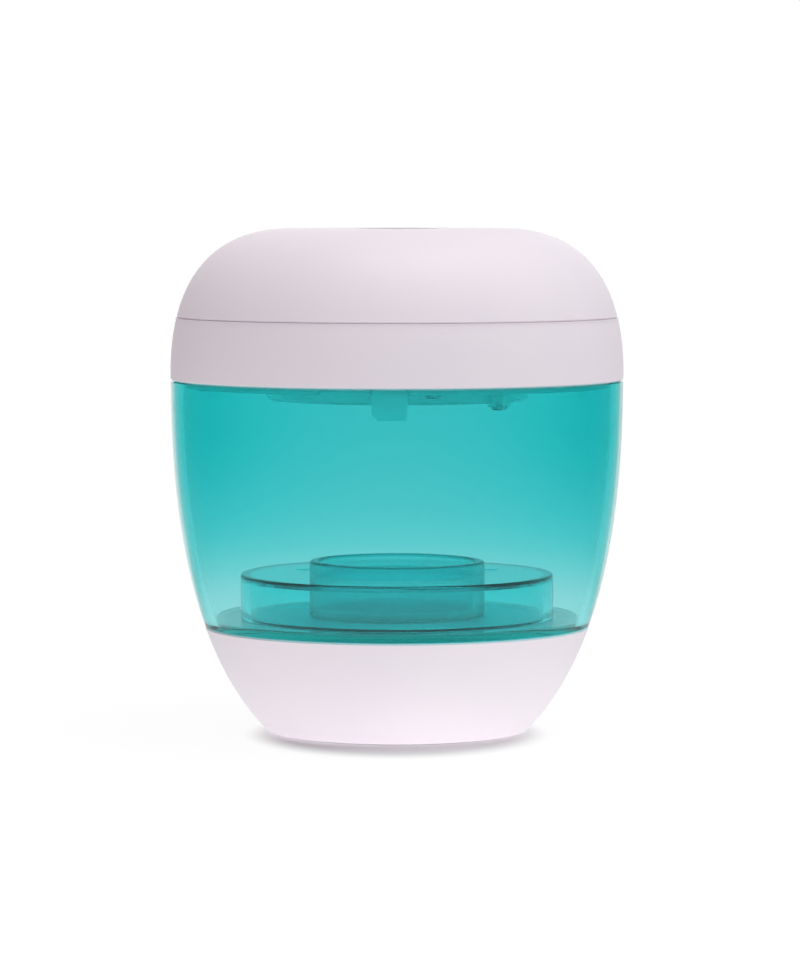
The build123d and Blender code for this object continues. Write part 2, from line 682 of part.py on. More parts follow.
# Bright bowl behind the lamp
with BuildPart() as lamp_reflector:
    with BuildSketch(Plane.XZ):
        with BuildLine():
            Polyline(
                (0, BOWL_TOP_Z),
                (BOWL_TOP_R, BOWL_TOP_Z),
            )
            ThreePointArc(
                (BOWL_TOP_R, BOWL_TOP_Z),
                (BOWL_MID_R, BOWL_MID_Z),
                (BOWL_R, TRAY_TOP_Z + SHEET_T),
            )
            Polyline(
                (BOWL_R, TRAY_TOP_Z + SHEET_T),
                (BOWL_FLANGE_R, TRAY_TOP_Z + SHEET_T),
                (BOWL_FLANGE_R, TRAY_TOP_Z),
                (BOWL_R - SHEET_T, TRAY_TOP_Z),
            )
            ThreePointArc(
                (BOWL_R - SHEET_T, TRAY_TOP_Z),
                (BOWL_MID_R - SHEET_T / 2, BOWL_MID_Z - SHEET_T),
                (BOWL_TOP_R, BOWL_TOP_Z - SHEET_T),
            )
            Polyline(
                (BOWL_TOP_R, BOWL_TOP_Z - SHEET_T),
                (0, BOWL_TOP_Z - SHEET_T),
                (0, BOWL_TOP_Z),
            )
        make_face()
    revolve(axis=Axis.Z)
    with BuildSketch(Plane.XY.offset(TRAY_TOP_Z)):
        for side in (1, -1):
            with Locations((side * (CAP_INNER + REACH) / 2, 0)):
                Rectangle(REACH - CAP_INNER, 2 * CAP_TAB_HALF + 2 * CAP_TAB_CLEARANCE)
    extrude(amount=BOWL_TOP_Z, mode=Mode.SUBTRACT)
    with BuildSketch(Plane.XY.offset(TRAY_TOP_Z)):
        with Locations(*around(LENS_EAR_CIRCLE_R, LENS_EAR_ANGLES)):
            Circle(SMALL_SCREW_R + BASE_SCREW_CLEARANCE)
    extrude(amount=SHEET_T, mode=Mode.SUBTRACT)
save(lamp_reflector.part, "lamp_reflector")

# Ultraviolet lamp tube
with BuildPart() as uv_lamp:
    with BuildSketch(Plane.YZ):
        with Locations((0, LAMP_Z)):
            Circle(LAMP_TUBE_R)
    extrude(amount=LAMP_HALF, both=True)
    fillet(uv_lamp.edges().filter_by(GeomType.CIRCLE), radius=LAMP_END_R)
save(uv_lamp.part, "uv_lamp")

# Lamp end caps, each with a tab that lies on the tray
with BuildPart() as lamp_caps:
    for side in (1, -1):
        with BuildSketch(Plane.YZ.offset(side * CAP_INNER)):
            with Locations((0, LAMP_Z)):
                Circle(CAP_R)
        extrude(amount=side * (CAP_OUTER - CAP_INNER))
        with BuildSketch(Plane.XY.offset(TRAY_TOP_Z)):
            with Locations((side * (CAP_OUTER - CAP_TAB_T + CAP_TAB_END) / 2, 0)):
                Rectangle(CAP_TAB_END - CAP_OUTER + CAP_TAB_T, 2 * CAP_TAB_HALF)
        extrude(amount=CAP_TAB_T)
        with BuildSketch(Plane.YZ.offset(side * CAP_INNER)):
            with Locations((0, LAMP_Z)):
                Circle(LAMP_TUBE_R)
        extrude(amount=side * (LAMP_HALF - CAP_INNER), mode=Mode.SUBTRACT)
save(lamp_caps.part, "lamp_caps")

# Clear cover under the lamp, with two screw ears
with BuildPart() as lamp_lens:
    with BuildSketch(Plane.XZ):
        add(ring_section(0, LENS_R, LENS_BOTTOM_Z, LENS_BOTTOM_Z + LENS_FLOOR_T))
        add(ring_section(LENS_R - LENS_WALL, LENS_R, LENS_BOTTOM_Z, TRAY_BOTTOM_Z))
    revolve(axis=Axis.Z)
    chamfer(lamp_lens.edges().group_by(Axis.Z)[0].sort_by(SortBy.RADIUS)[-1], length=LENS_EDGE)
    with BuildSketch(Plane.XY.offset(LENS_EAR_BOTTOM_Z)):
        with Locations(*around(LENS_EAR_CIRCLE_R, LENS_EAR_ANGLES)):
            Circle(LENS_EAR_R)
    extrude(amount=TRAY_BOTTOM_Z - LENS_EAR_BOTTOM_Z)
    with BuildSketch(Plane.XY.offset(LENS_EAR_BOTTOM_Z)):
        with Locations(*around(LENS_EAR_CIRCLE_R, LENS_EAR_ANGLES)):
            Circle(SMALL_SCREW_R)
    extrude(amount=TRAY_BOTTOM_Z - LENS_EAR_BOTTOM_Z, mode=Mode.SUBTRACT)
save(lamp_lens.part, "lamp_lens")


def screw_set(circle_r, angles, seat_z, length, upward):
    """Small screws on a circle: a seated head and a shank that runs up or down from it."""
    way = 1 if upward else -1
    with BuildPart() as screws:
        with BuildSketch(Plane.XY.offset(seat_z)):
            with Locations(*around(circle_r, angles)):
                Circle(SMALL_SCREW_HEAD_R)
        extrude(amount=-way * SMALL_SCREW_HEAD_H)
        with BuildSketch(Plane.XY.offset(seat_z)):
            with Locations(*around(circle_r, angles)):
                Circle(SMALL_SCREW_R)
        extrude(amount=way * length)
    return screws.part


save(
    screw_set(LENS_EAR_CIRCLE_R, LENS_EAR_ANGLES, LENS_EAR_BOTTOM_Z, LENS_SCREW_LENGTH, True),
    "lens_screws",
)
save(screw_set(TRAY_SCREW_CIRCLE_R, TRAY_SCREW_ANGLES, TRAY_BOTTOM_Z, TRAY_SCREW_LENGTH, True), "tray_screws")
save(
    screw_set(BOARD_SCREW_CIRCLE_R, BOARD_SCREW_ANGLES, BOARD_TOP_Z, BOARD_SCREW_LENGTH, False),
    "board_screws",
)
save(
    screw_set(
        TRAY_SCREW_CIRCLE_R,
        TRAY_SCREW_ANGLES,
        TRAY_BOSS_TOP_Z + BATTERY_TRAY_T,
        BATTERY_SCREW_LENGTH,
        False,
    ),
    "battery_tray_screws",
)

# Short leads from the lamp's end caps up to the board
with BuildPart() as lamp_leads:
    with BuildSketch(Plane.XY.offset(TRAY_TOP_Z + CAP_TAB_T)):
        with Locations((LEAD_X, 0), (-LEAD_X, 0)):
            Circle(LEAD_R)
    extrude(amount=BOARD_BOTTOM_Z - TRAY_TOP_Z - CAP_TAB_T)
save(lamp_leads.part, "lamp_leads")

# Circuit board with a tab for the charging socket and one for the lid detector
with BuildPart() as main_board:
    with BuildSketch(Plane.XY.offset(BOARD_BOTTOM_Z)):
        Circle(BOARD_R)
        for angle, end, width in (
            (USB_ANGLE, USB_TAB_END, USB_TAB_WIDTH),
            (PLUNGER_ANGLE, DETECTOR_TAB_END, DETECTOR_TAB_WIDTH),
        ):
            with Locations(Location((0, 0, 0), (0, 0, angle))):
                Rectangle(end, width, align=(Align.MIN, Align.CENTER))
        with Locations(*around(BOARD_SCREW_CIRCLE_R, BOARD_SCREW_ANGLES)):
            Circle(SMALL_SCREW_R, mode=Mode.SUBTRACT)
    extrude(amount=BOARD_T)
save(main_board.part, "main_board")

# Push switch under the power button
with BuildPart() as power_switch:
    with BuildSketch(Plane.XY.offset(BOARD_TOP_Z)):
        Rectangle(SWITCH_SIZE, SWITCH_SIZE)
    extrude(amount=SWITCH_H)
    chamfer(power_switch.edges().filter_by(Axis.Z), length=SWITCH_CORNER)
    with BuildSketch(Plane.XY.offset(BOARD_TOP_Z + SWITCH_H)):
        Circle(SWITCH_STEM_R)
    extrude(amount=SWITCH_STEM_H)
save(power_switch.part, "power_switch")

# Charging socket: a folded metal shell with a contact tongue
with BuildPart() as usb_socket:
    with BuildSketch(outward_plane(USB_ANGLE, USB_FACE_R - USB_LENGTH)):
        with Locations((0, BOARD_TOP_Z + USB_HEIGHT / 2)):
            RectangleRounded(USB_WIDTH, USB_HEIGHT, USB_CORNER_R)
    extrude(amount=USB_LENGTH)
    with BuildSketch(outward_plane(USB_ANGLE, USB_FACE_R)):
        with Locations((0, BOARD_TOP_Z + USB_HEIGHT / 2)):
            RectangleRounded(USB_WIDTH - 2 * USB_SHEET, USB_HEIGHT - 2 * USB_SHEET, USB_CORNER_R - USB_SHEET)
            Rectangle(USB_WIDTH / 2, USB_HEIGHT / 4, mode=Mode.SUBTRACT)
    extrude(amount=-USB_LENGTH + USB_BACK_T, mode=Mode.SUBTRACT)
save(usb_socket.part, "usb_socket")

# Control chip with two rows of legs
with BuildPart() as control_chip:
    with BuildSketch(Plane.XY.offset(BOARD_TOP_Z + CHIP_STAND)):
        with Locations(CHIP_SPOT):
            Rectangle(CHIP_LENGTH, CHIP_WIDTH)
    extrude(amount=CHIP_H)
    with BuildSketch(Plane.XY.offset(BOARD_TOP_Z)):
        with Locations(CHIP_SPOT):
            with GridLocations(CHIP_LENGTH / CHIP_LEGS, CHIP_WIDTH + CHIP_LEG_LENGTH, CHIP_LEGS, 2):
                Rectangle(CHIP_LEG_WIDTH, CHIP_LEG_LENGTH + 2 * CHIP_LEG_OVERLAP)
    extrude(amount=CHIP_STAND + CHIP_H / 2)
save(control_chip.part, "control_chip")

# Step-up coil for the lamp: a wound bobbin between two flanges
with BuildPart() as inverter_coil:
    for low, high, radius in (
        (-COIL_HALF, COIL_HALF, COIL_WINDING_R),
        (-COIL_HALF, -COIL_HALF + COIL_FLANGE_T, COIL_R),
        (COIL_HALF - COIL_FLANGE_T, COIL_HALF, COIL_R),
    ):
        with BuildSketch(Plane.XZ.offset(low)):
            with Locations((COIL_X, BOARD_TOP_Z + COIL_R)):
                Circle(radius)
        extrude(amount=high - low)
save(inverter_coil.part, "inverter_coil")

# Smoothing capacitors
with BuildPart() as capacitors:
    with BuildSketch(Plane.XY.offset(BOARD_TOP_Z)):
        with Locations(*around(CAPACITOR_CIRCLE_R, CAPACITOR_ANGLES)):
            Circle(CAPACITOR_R)
    extrude(amount=CAPACITOR_H)
    chamfer(capacitors.edges().group_by(Axis.Z)[-1], length=CAPACITOR_EDGE)
save(capacitors.part, "capacitors")

# Indicator lamp on the board
with BuildPart() as status_led:
    with BuildSketch(Plane.XY.offset(BOARD_TOP_Z)):
        with Locations((0, LED_Y)):
            Circle(LED_R)
    extrude(amount=LED_H)
    fillet(status_led.edges().group_by(Axis.Z)[-1], radius=LED_DOME_R)
save(status_led.part, "status_led")

# Detector switch that the safety plunger presses
with BuildPart() as lid_detector:
    with BuildSketch(radial_plane(PLUNGER_ANGLE)):
        with Locations((DETECTOR_INNER_R, BOARD_BOTTOM_Z - DETECTOR_H)):
            Rectangle(DETECTOR_LENGTH, DETECTOR_H, align=(Align.MIN, Align.MIN))
    extrude(amount=DETECTOR_HALF, both=True)
save(lid_detector.part, "lid_detector")

# Safety plunger that rides on the chamber's striker ledge
with BuildPart() as safety_plunger:
    tip_z = STRIKER_TOP_Z + PLUNGER_LIFT
    head_z = BOARD_BOTTOM_Z - DETECTOR_H - PLUNGER_LIFT
    with BuildSketch(Plane.XY.offset(tip_z)):
        with Locations(*around(PLUNGER_CIRCLE_R, (PLUNGER_ANGLE,))):
            Circle(PLUNGER_R)
    extrude(amount=head_z - tip_z)
    fillet(safety_plunger.edges().group_by(Axis.Z)[0], radius=PLUNGER_TIP_R)
    with BuildSketch(Plane.XY.offset(head_z)):
        with Locations(*around(PLUNGER_CIRCLE_R, (PLUNGER_ANGLE,))):
            Circle(PLUNGER_COLLAR_R)
    extrude(amount=-PLUNGER_COLLAR_H)
save(safety_plunger.part, "safety_plunger")

# Battery tray: a ring plate with ears, end walls and low saddles for the cells
with BuildPart() as battery_tray:
    with BuildSketch(Plane.XY.offset(TRAY_BOSS_TOP_Z)):
        Circle(BATTERY_TRAY_R)
        with Locations(*around(TRAY_SCREW_CIRCLE_R, TRAY_SCREW_ANGLES)):
            Circle(TRAY_BOSS_R)
        for angle in TRAY_SCREW_ANGLES:
            with Locations(Location((0, 0, 0), (0, 0, angle))):
                Rectangle(TRAY_SCREW_CIRCLE_R, 2 * TRAY_BOSS_R, align=(Align.MIN, Align.CENTER))
        Circle(BATTERY_TRAY_HOLE_R, mode=Mode.SUBTRACT)
        with Locations(*around(TRAY_SCREW_CIRCLE_R, TRAY_SCREW_ANGLES)):
            Circle(SMALL_SCREW_R, mode=Mode.SUBTRACT)
    extrude(amount=BATTERY_TRAY_T)
    plate_z = TRAY_BOSS_TOP_Z + BATTERY_TRAY_T
    for angle in CELL_ANGLES:
        for way in (1, -1):
            with BuildSketch(radial_plane(angle).offset(way * (CELL_LENGTH / 2 + CONTACT_GAP))):
                with Locations((CELL_RADIAL, plate_z)):
                    Rectangle(END_WALL_WIDTH, END_WALL_H, align=(Align.CENTER, Align.MIN))
            extrude(amount=way * END_WALL_T)
            with BuildSketch(radial_plane(angle).offset(way * CELL_LENGTH / 4)):
                with Locations((CELL_RADIAL, plate_z)):
                    Rectangle(SADDLE_WIDTH, SADDLE_H, align=(Align.CENTER, Align.MIN))
                with Locations((CELL_RADIAL, CELL_Z)):
                    Circle(CELL_R + CELL_GAP / 2, mode=Mode.SUBTRACT)
            extrude(amount=END_WALL_T, both=True)
save(battery_tray.part, "battery_tray")

# Three small cells laid in a triangle round the button post
with BuildPart() as battery_cells:
    for angle in CELL_ANGLES:
        with BuildSketch(radial_plane(angle).offset(-CELL_LENGTH / 2)):
            with Locations((CELL_RADIAL, CELL_Z)):
                Circle(CELL_R)
        extrude(amount=CELL_LENGTH - CELL_NUB_H)
        with BuildSketch(radial_plane(angle).offset(CELL_LENGTH / 2 - CELL_NUB_H)):
            with Locations((CELL_RADIAL, CELL_Z)):
                Circle(CELL_NUB_R)
        extrude(amount=CELL_NUB_H)
save(battery_cells.part, "battery_cells")

# Contact plates at both ends of each cell, with a domed bump towards it
with BuildPart() as battery_contacts:
    for angle in CELL_ANGLES:
        for way in (1, -1):
            with BuildSketch(radial_plane(angle).offset(way * (CELL_LENGTH / 2 + CONTACT_GAP))):
                with Locations((CELL_RADIAL, CELL_Z - CONTACT_DROP)):
                    RectangleRounded(CONTACT_SIZE, CONTACT_SIZE, CONTACT_CORNER_R)
            extrude(amount=-way * CONTACT_T)
            with BuildSketch(radial_plane(angle).offset(way * (CELL_LENGTH / 2 + CONTACT_GAP - CONTACT_T))):
                with Locations((CELL_RADIAL, CELL_Z)):
                    Circle(CELL_NUB_R)
            extrude(amount=-way * (CONTACT_GAP - CONTACT_T), taper=CONTACT_BUMP_TAPER)
save(battery_contacts.part, "battery_contacts")

# White dome, the battery cover, with its bayonet neck and button guide
with BuildPart() as dome:
    with BuildSketch(Plane.XZ):
        add(casing_wall(DOME_BOTTOM_Z, TOP_Z, SHELL_INSIDE))
        add(ring_section(NECK_R - NECK_WALL, DOME_RIM_R, DOME_BOTTOM_Z, DOME_BOTTOM_Z + NECK_WALL))
        add(ring_section(NECK_R - NECK_WALL, NECK_R, NECK_BOTTOM_Z, DOME_BOTTOM_Z + NECK_WALL))
        add(ring_section(BUTTON_R, BUTTON_GUIDE_R, GUIDE_BOTTOM_Z, TOP_Z - SHELL_WALL / 2))
    revolve(axis=Axis.Z)
    dome_foot = dome.edges().filter_by(GeomType.CIRCLE).filter_by_position(
        Axis.Z, DOME_BOTTOM_Z - 0.01, DOME_BOTTOM_Z + 0.01
    )
    chamfer(dome_foot.sort_by(SortBy.RADIUS)[-1], length=SEAM_CHAMFER)
    for angle in LUG_ANGLES:
        with BuildSketch(radial_plane(angle - LUG_SPAN / 2)):
            add(ring_section(NECK_R - NECK_WALL / 2, LUG_R, NECK_BOTTOM_Z, NECK_BOTTOM_Z + LUG_H))
        revolve(axis=Axis.Z, revolution_arc=LUG_SPAN)
    # stiffening ribs under the crown, between the button guide and the shoulder
    for rib in range(DOME_RIB_COUNT):
        with BuildSketch(radial_plane(rib * 360 / DOME_RIB_COUNT)):
            add(RIB_LIMIT)
            with Locations((BUTTON_GUIDE_R, DOME_RIB_BOTTOM_Z)):
                Rectangle(
                    DOME_RIB_END_R - BUTTON_GUIDE_R,
                    TOP_Z - DOME_RIB_BOTTOM_Z,
                    align=(Align.MIN, Align.MIN),
                    mode=Mode.INTERSECT,
                )
        extrude(amount=DOME_RIB_T / 2, both=True)
    with BuildSketch(Plane.XY.offset(GUIDE_BOTTOM_Z)):
        Circle(BUTTON_R + BUTTON_CLEARANCE)
        with Locations((0, LED_Y)):
            Circle(LED_R)
    extrude(amount=TOP_Z - GUIDE_BOTTOM_Z + CUT_MARGIN, mode=Mode.SUBTRACT)
save(dome.part, "dome")

# Light pipe that carries the indicator's light to the top
with BuildPart() as light_pipe:
    with BuildSketch(Plane.XY.offset(PIPE_BOTTOM_Z)):
        with Locations((0, LED_Y)):
            Circle(LED_R)
    extrude(amount=TOP_Z - PIPE_BOTTOM_Z)
save(light_pipe.part, "light_pipe")

# Power button with its skirt, stop lip and long post
with BuildPart() as power_button:
    with BuildSketch(Plane.XZ):
        add(ring_section(0, BUTTON_R, TOP_Z - BUTTON_SINK - BUTTON_WALL, TOP_Z - BUTTON_SINK))
        add(ring_section(BUTTON_R - BUTTON_WALL, BUTTON_R, BUTTON_SKIRT_Z, TOP_Z - BUTTON_SINK))
        add(
            ring_section(
                BUTTON_R - BUTTON_WALL,
                BUTTON_LIP_R,
                BUTTON_SKIRT_Z,
                BUTTON_SKIRT_Z + BUTTON_LIP_H,
            )
        )
        add(
            ring_section(
                0,
                BUTTON_POST_R,
                SWITCH_TOP_Z + BUTTON_TRAVEL + BUTTON_REST_GAP,
                TOP_Z - BUTTON_SINK,
            )
        )
    revolve(axis=Axis.Z)
    chamfer(power_button.edges().group_by(Axis.Z)[-1], length=BUTTON_EDGE)
save(power_button.part, "power_button")
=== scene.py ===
import bpy
import bmesh
import json
from math import atan2, cos, pi, radians, sin, tan
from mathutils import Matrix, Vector


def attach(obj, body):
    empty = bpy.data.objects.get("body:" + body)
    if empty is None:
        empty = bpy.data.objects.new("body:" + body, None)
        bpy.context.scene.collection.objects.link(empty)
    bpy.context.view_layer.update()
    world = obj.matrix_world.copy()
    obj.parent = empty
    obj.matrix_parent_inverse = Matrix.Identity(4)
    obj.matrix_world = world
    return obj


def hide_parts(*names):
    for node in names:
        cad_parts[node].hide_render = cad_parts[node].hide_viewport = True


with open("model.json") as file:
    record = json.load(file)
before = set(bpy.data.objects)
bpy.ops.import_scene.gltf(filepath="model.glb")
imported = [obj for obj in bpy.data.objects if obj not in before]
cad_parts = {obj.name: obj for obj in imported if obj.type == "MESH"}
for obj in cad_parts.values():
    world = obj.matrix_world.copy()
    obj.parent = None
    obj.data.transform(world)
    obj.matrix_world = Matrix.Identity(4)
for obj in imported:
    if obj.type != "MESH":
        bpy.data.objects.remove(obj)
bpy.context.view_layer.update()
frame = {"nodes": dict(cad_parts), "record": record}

MM = 0.001
WHITE = (1.0, 1.0, 1.0, 1.0)

# Camera that matches the photograph's view, in metres and degrees
CAMERA_X = 0.00059
CAMERA_DISTANCE = 0.8814
CAMERA_HEIGHT = 0.1084
CAMERA_PITCH = 3.881
LENS_MM = 163.17
SENSOR_MM = 36.0

# World and lamp: light from the left is dimmer and warmer, between two levels of the direction's X
WORLD_LEFT = (0.21, 0.145, 0.165, 1.0)
WORLD_RIGHT = (0.54, 0.535, 0.54, 1.0)
WORLD_TURN = (-0.75, 0.15)
OVERHEAD_WAY = (-0.12, 0.10, -1.0)
OVERHEAD_STRENGTH = 1.88
OVERHEAD_SPREAD = 50.0
LIGHT_BOUNCES = 24

# Floor, in metres: the light that it sends back, near the object and far from it
FLOOR_HALF = 6.0
FLOOR_GLOW = (1.23, 1.06)
FLOOR_GLOW_SPAN = (0.06, 0.22)
# The floor's own white takes the object's real shadow, strongly close round the foot and faintly beyond;
# the rest glows.
# Close round the foot its glow also goes out, which paints a contact shadow there on top of the real one.
# Both fade between two distances from the middle, in an ellipse that is narrower from side to side.
FLOOR_WHITE_AND_PAINTED_SHADOW = (0.72, 0.08)
PAINTED_SHADOW_SPAN = (0.029, 0.041)
PAINTED_SHADOW_SQUEEZE = (1.32, 1.0, 0.0)
PAINTED_SHADOW_SHIFT = (0.0, 0.005, 0.0)
# Light that reaches the floor in the open, and under the object
FLOOR_LIT = 0.94
FLOOR_SHADED_LIT = 0.55

# Cards round the object, in metres, and their brightness from the front, at 0, to the back, at 1
TENT_R = 0.30
TENT_TOP = 0.34
TENT_PALE_FROM = 0.136
TENT_LIFT = 0.0005
TENT_NEAR = 0.055
TENT_FAR = 0.20
TENT_STOPS = (
    (0.0, (0.08, 0.16, 0.16, 1.0)),
    (0.10, (0.04, 0.09, 0.09, 1.0)),
    (0.70, (0.03, 0.07, 0.07, 1.0)),
    (0.85, (0.07, 0.11, 0.11, 1.0)),
    (0.91, (0.45, 0.45, 0.45, 1.0)),
    (0.94, (0.9, 0.9, 0.9, 1.0)),
    (0.96, WHITE),
)
# Colour of the cards close to the object, under its edge
TENT_UNDER = (0.68, 0.74, 0.76, 1.0)

# Screws, in millimetres: node, body, circle, angles, seat height, shank way, length and size
SMALL_SCREW = {"head_r": 1.6, "head_h": 0.7, "shank_r": 0.85, "pitch": 0.6}
BASE_SCREW = {"head_r": 2.7, "head_h": 1.8, "shank_r": 1.2, "pitch": 1.0}
SCREWS = (
    ("lens_screws", "lid", 26.6, (-42.0, 138.0), 65.9, 1, 4.6, SMALL_SCREW),
    ("tray_screws", "lid", 38.3, (10.0, 100.0, 190.0, 280.0), 69.1, 1, 6.0, SMALL_SCREW),
    ("board_screws", "lid", 31.5, (30.0, 150.0, 270.0), 75.2, -1, 4.2, SMALL_SCREW),
    ("battery_tray_screws", "lid", 38.3, (10.0, 100.0, 190.0, 280.0), 79.4, -1, 3.4, SMALL_SCREW),
    ("base_screws", "base", 16.0, (90.0, 210.0, 330.0), 4.5, 1, 11.0, BASE_SCREW),
)
# Shares of the head's radius and height: the recess, its floor's middle and rim, and the head's side
CROSS_ARM = 0.58
CROSS_HALF_WIDTH = 0.17
CROSS_FLOOR_REACH = 0.5
CROSS_FLOOR_HEIGHTS = (0.35, 0.42)
HEAD_PROFILE = ((0.76, 0.97), (0.90, 0.82), (0.98, 0.55), (1.0, 0.25), (0.98, 0.0))
# Thread, neck and tip, as shares of the shank's radius
THREAD_ROOT = 0.78
THREAD_DEPTH = 0.22
NECK_SHARE = 0.8
TIP_SHARE = 0.7
# Ends of the thread, in pitches, and its rings in each pitch
THREAD_RUN_IN = 0.35
THREAD_RUN_OUT = 0.6
THREAD_STEPS = 4

# Fineness of the made pieces: edges that turn more than this angle, in degrees, stay sharp
SHARP_ANGLE = 35.0
FINE_SIDES = 96
WIRE_ROUNDNESS = 3

# Other made pieces, in millimetres; an outline is radius and height
DISC_OUTLINE = (
    (0, 23.40), (25.5, 23.40), (25.8, 23.38), (28.4, 23.38), (28.8, 23.42), (29.0, 23.55), (28.9, 23.70),
    (28.6, 23.78), (28.2, 23.74), (27.9, 23.66), (25.9, 23.66), (25.4, 23.72), (0, 23.72),
)
FOOT_OUTLINE = ((0, 1.7), (22.7, 1.7), (22.95, 1.6), (23.0, 1.4), (23.0, 0.45), (22.9, 0.2), (22.6, 0.0))
GROOVE_RADII = (20.5, 17.5, 14.5, 11.5, 8.5, 5.5)
GROOVE_HALF_WIDTHS = (0.6, 0.35)
GROOVE_DEPTH = 0.4
SEAT_RING_R = (42.7, 44.0)
SEAT_RING_Z = (82.46, 82.74)
WELD_REACH = 1e-7

# Lamp and its coils, in millimetres; each end's outline is radius and distance from the tip
LAMP_Z = 69.6
LAMP_HALF = 19.5
LAMP_SIDES = 48
LAMP_END = ((0, 0.0), (0.9, 0.0), (1.5, 0.4), (1.8, 0.9), (1.9, 1.5))
LAMP_BORE_END = ((0, 1.3), (0.8, 1.5), (1.35, 2.4))
COIL_LEAD = 1.4
COIL_START = 16.9
COIL_TURNS = 9
COIL_PITCH = 0.42
COIL_R = 0.62
COIL_WIRE = 0.11
COIL_STEPS = 12

# Winding of the step-up coil, in millimetres
WINDING_X = 9.3
WINDING_Z = 78.4
WINDING_HALF = 2.8
WINDING_R = 2.62
WINDING_TURNS = 15
WINDING_WIRE = 0.17
WINDING_STEPS = 20

# Textures: each noise is its scale per metre and its detail; depths are in metres
MOTTLE_LEVELS = (0.35, 0.65)
MOULD_MOTTLE = (38.0, 4.0)
MOULD_GLOSS = (160.0, 2.0)
MOULD_GRAIN = 2600.0
MOULD_GRAIN_DETAIL = 2.0
MOULD_DEPTH = 0.000012
MOULD_STRENGTH = 0.35
MOULD_IOR = 1.47
CLEAR_MOTTLE = (30.0, 3.0)
CLEAR_GLOSS = (90.0, 2.0)
CLEAR_WAVE = (55.0, 1.0)
CLEAR_WAVE_STRENGTH = 0.25
CLEAR_IOR = 1.49
METAL_MOTTLE = (120.0, 4.0)
METAL_GRAIN = 900.0
METAL_GRAIN_DETAIL = 3.0
METAL_STRENGTH = 0.2
FINE_DEPTH = 0.00001

# Colours, linear
WHITE_PLASTIC = (0.79, 0.73, 0.79, 1.0)
WHITE_PLASTIC_WARM = (0.81, 0.75, 0.80, 1.0)
TEAL_ABSORB = (0.017, 0.925, 0.92, 1.0)
TEAL_DENSITY = 200.0
TEAL_SHADOW = (0.42, 1.0, 1.0, 1.0)
# Tint of the window by height in metres, and its deepening from face on, at 0, to the glancing edge, at 1
TEAL_TINT = (
    (0.0250, (0.92, 0.875, 0.885, 1.0)),
    (0.0276, (0.88, 0.860, 0.872, 1.0)),
    (0.0345, (0.60, 0.820, 0.834, 1.0)),
    (0.0410, (0.47, 0.790, 0.808, 1.0)),
    (0.0500, (0.39, 0.760, 0.776, 1.0)),
    (0.0620, (0.32, 0.745, 0.757, 1.0)),
)
TEAL_EDGE = (
    (0.0, WHITE),
    (0.08, (0.90, 1.0, 1.0, 1.0)),
    (0.21, (0.70, 0.98, 0.98, 1.0)),
    (0.46, (0.40, 0.93, 0.93, 1.0)),
    (1.0, (0.40, 0.92, 0.91, 1.0)),
)
# Heights between which the deepening sets in
EDGE_SPAN = (0.036, 0.058)
# Tint of the rack by height, darker in its top plate
RACK_TINT = (
    (0.0240, (0.52, 0.93, 0.935, 1.0)),
    (0.0304, (0.42, 0.93, 0.935, 1.0)),
    (0.0308, (0.30, 0.81, 0.82, 1.0)),
    (0.0320, (0.32, 0.84, 0.85, 1.0)),
)

# Nodes whose finish differs from the rest of their slot
FINISHES = {"lamp_tray": "inner_white", "front_latch": "inner_white"}


